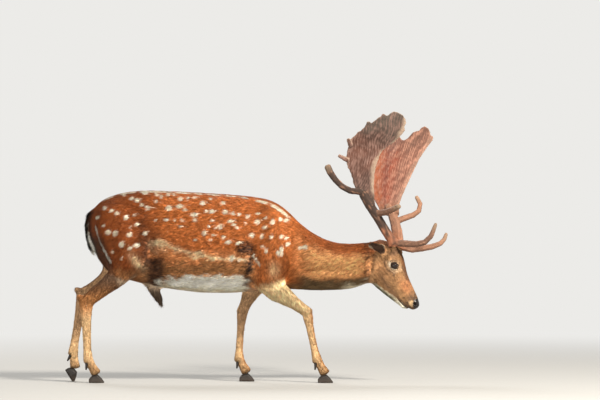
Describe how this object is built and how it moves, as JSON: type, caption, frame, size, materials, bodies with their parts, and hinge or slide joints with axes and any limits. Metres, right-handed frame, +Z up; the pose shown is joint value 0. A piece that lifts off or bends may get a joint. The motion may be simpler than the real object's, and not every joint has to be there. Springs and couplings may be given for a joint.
{
  "type": "deer model",
  "caption": "Life-size fallow buck in summer coat, walking with its head held low and palmate antlers in velvet.",
  "frame": {"origin": "on the ground, under the middle of the model's box", "axes": "+X towards the nose, +Y to the animal's left, +Z up"},
  "size_m": [1.6464, 0.5318, 1.161],
  "materials": {
    "coat": "short flat summer hair, rufous with white spots, pale below",
    "velvet": "antler velvet, soft and matt, grey-brown to pinkish",
    "hoof_horn": "dark horn with a dull sheen",
    "eye": "wet, dark brown"
  },
  "bodies": {
    "root": {"trunk": "coat", "neck": "coat", "head": "coat", "tail": "coat", "sheath": "coat", "ear_left": "coat", "ear_right": "coat", "foreleg_left_upper": "coat", "foreleg_left_lower": "coat", "foreleg_right_upper": "coat", "foreleg_right_lower": "coat", "hindleg_left_upper": "coat", "hindleg_left_lower": "coat", "hindleg_right_upper": "coat", "hindleg_right_lower": "coat", "antler_left_beam": "velvet", "antler_left_palm": "velvet", "antler_left_brow_tine": "velvet", "antler_left_trez_tine": "velvet", "antler_left_back_tine": "velvet", "antler_right_beam": "velvet", "antler_right_palm": "velvet", "antler_right_brow_tine": "velvet", "antler_right_trez_tine": "velvet", "antler_right_back_tine": "velvet", "hoof_fore_left_inner": "hoof_horn", "hoof_fore_left_outer": "hoof_horn", "hoof_fore_right_inner": "hoof_horn", "hoof_fore_right_outer": "hoof_horn", "hoof_hind_left_inner": "hoof_horn", "hoof_hind_left_outer": "hoof_horn", "hoof_hind_right_inner": "hoof_horn", "hoof_hind_right_outer": "hoof_horn", "dewclaw_fore_left_inner": "hoof_horn", "dewclaw_fore_left_outer": "hoof_horn", "dewclaw_fore_right_inner": "hoof_horn", "dewclaw_fore_right_outer": "hoof_horn", "dewclaw_hind_left_inner": "hoof_horn", "dewclaw_hind_left_outer": "hoof_horn", "dewclaw_hind_right_inner": "hoof_horn", "dewclaw_hind_right_outer": "hoof_horn", "eye_left": "eye", "eye_right": "eye"}
  },
  "joints": []
}
